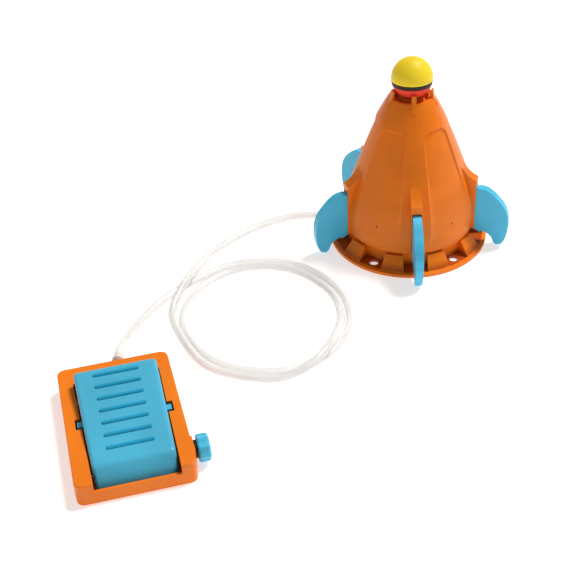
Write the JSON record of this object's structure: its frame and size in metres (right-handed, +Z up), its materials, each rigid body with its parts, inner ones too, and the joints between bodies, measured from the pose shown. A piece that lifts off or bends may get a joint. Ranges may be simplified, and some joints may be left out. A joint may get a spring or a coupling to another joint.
{
  "type": "foot-pump rocket ball launcher",
  "caption": "Toy air launcher: a finned rocket stand with a two-tone ball on its nose, joined by a coiled clear hose to a foot pump with a sprung pedal.",
  "frame": {"origin": "centre of the launcher's base, on the floor", "axes": "+Z up, one fin of the launcher points along -Y, and the pump stands towards -X and -Y"},
  "size_m": [0.4304, 0.4442, 0.1974],
  "materials": {
    "orange_plastic": "satin moulded plastic",
    "blue_plastic": "satin moulded plastic",
    "yellow_plastic": "satin moulded plastic",
    "red_plastic": "satin moulded plastic",
    "black_rubber": "matt rubber",
    "white_nylon": "natural nylon",
    "steel": "zinc-plated",
    "clear_vinyl": "clear flexible vinyl"
  },
  "bodies": {
    "launcher_and_pump": {"rocket_shell": "orange_plastic", "launcher_base": "orange_plastic", "ball_cup": "orange_plastic", "pump_housing": "orange_plastic", "pump_bottom_plate": "orange_plastic", "fin_front": "blue_plastic", "fin_right": "blue_plastic", "fin_back_right": "blue_plastic", "fin_back_left": "blue_plastic", "fin_left": "blue_plastic", "nozzle_seal": "black_rubber", "bellows": "black_rubber", "knob_washer": "black_rubber", "pump_foot_1": "black_rubber", "pump_foot_2": "black_rubber", "pump_foot_3": "black_rubber", "pump_foot_4": "black_rubber", "riser_tube": "white_nylon", "air_elbow": "white_nylon", "inlet_barb": "white_nylon", "air_chamber": "white_nylon", "outlet_duct": "white_nylon", "check_valve_body": "white_nylon", "outlet_barb": "white_nylon", "base_screw_1": "steel", "base_screw_2": "steel", "base_screw_3": "steel", "base_screw_4": "steel", "base_screw_5": "steel", "plate_screw_1": "steel", "plate_screw_2": "steel", "plate_screw_3": "steel", "plate_screw_4": "steel", "hinge_pin": "steel", "return_spring": "steel", "hose": "clear_vinyl", "bleed_tube": "clear_vinyl"},
    "ball": {"ball_upper": "yellow_plastic", "ball_band": "black_rubber", "ball_lower": "red_plastic"},
    "pedal": {"pedal": "blue_plastic"},
    "knob": {"air_knob": "blue_plastic"},
    "needle": {"valve_needle": "steel"},
    "check_disc": {"check_disc": "black_rubber"},
    "intake_flap": {"intake_flap": "black_rubber"}
  },
  "joints": [
    {"name": "ball_launch", "type": "slide", "parent": "launcher_and_pump", "child": "ball", "axis": [0, 0, 1], "range_m": [0, 0.06]},
    {"name": "pedal_press", "type": "hinge", "parent": "launcher_and_pump", "child": "pedal", "pos_m": [-0.25523, -0.33586, 0.0165], "axis": [-0.9748, -0.2233, 0], "range_deg": [0, 5.6], "stiffness_Nm_per_rad": 4, "springref_deg": -5.73, "deforming": ["bellows", "return_spring"]},
    {"name": "knob_turn", "type": "hinge", "parent": "launcher_and_pump", "child": "knob", "pos_m": [-0.20512, -0.31413, 0.0137], "axis": [0.9748, 0.2233, 0], "range_deg": [0, 360]},
    {"name": "needle_travel", "type": "slide", "parent": "launcher_and_pump", "child": "needle", "axis": [0.9748, 0.2233, 0], "range_m": [0, 0.0012]},
    {"name": "check_disc_lift", "type": "slide", "parent": "launcher_and_pump", "child": "check_disc", "axis": [-0.2233, 0.9748, 0], "range_m": [0, 0.0012]},
    {"name": "intake_flap_lift", "type": "slide", "parent": "launcher_and_pump", "child": "intake_flap", "axis": [0, 0, 1], "range_m": [0, 0.002]}
  ],
  "couplings": [
    {"joint": "needle_travel", "follows": "knob_turn", "m_per_rad": 0.00019099}
  ]
}
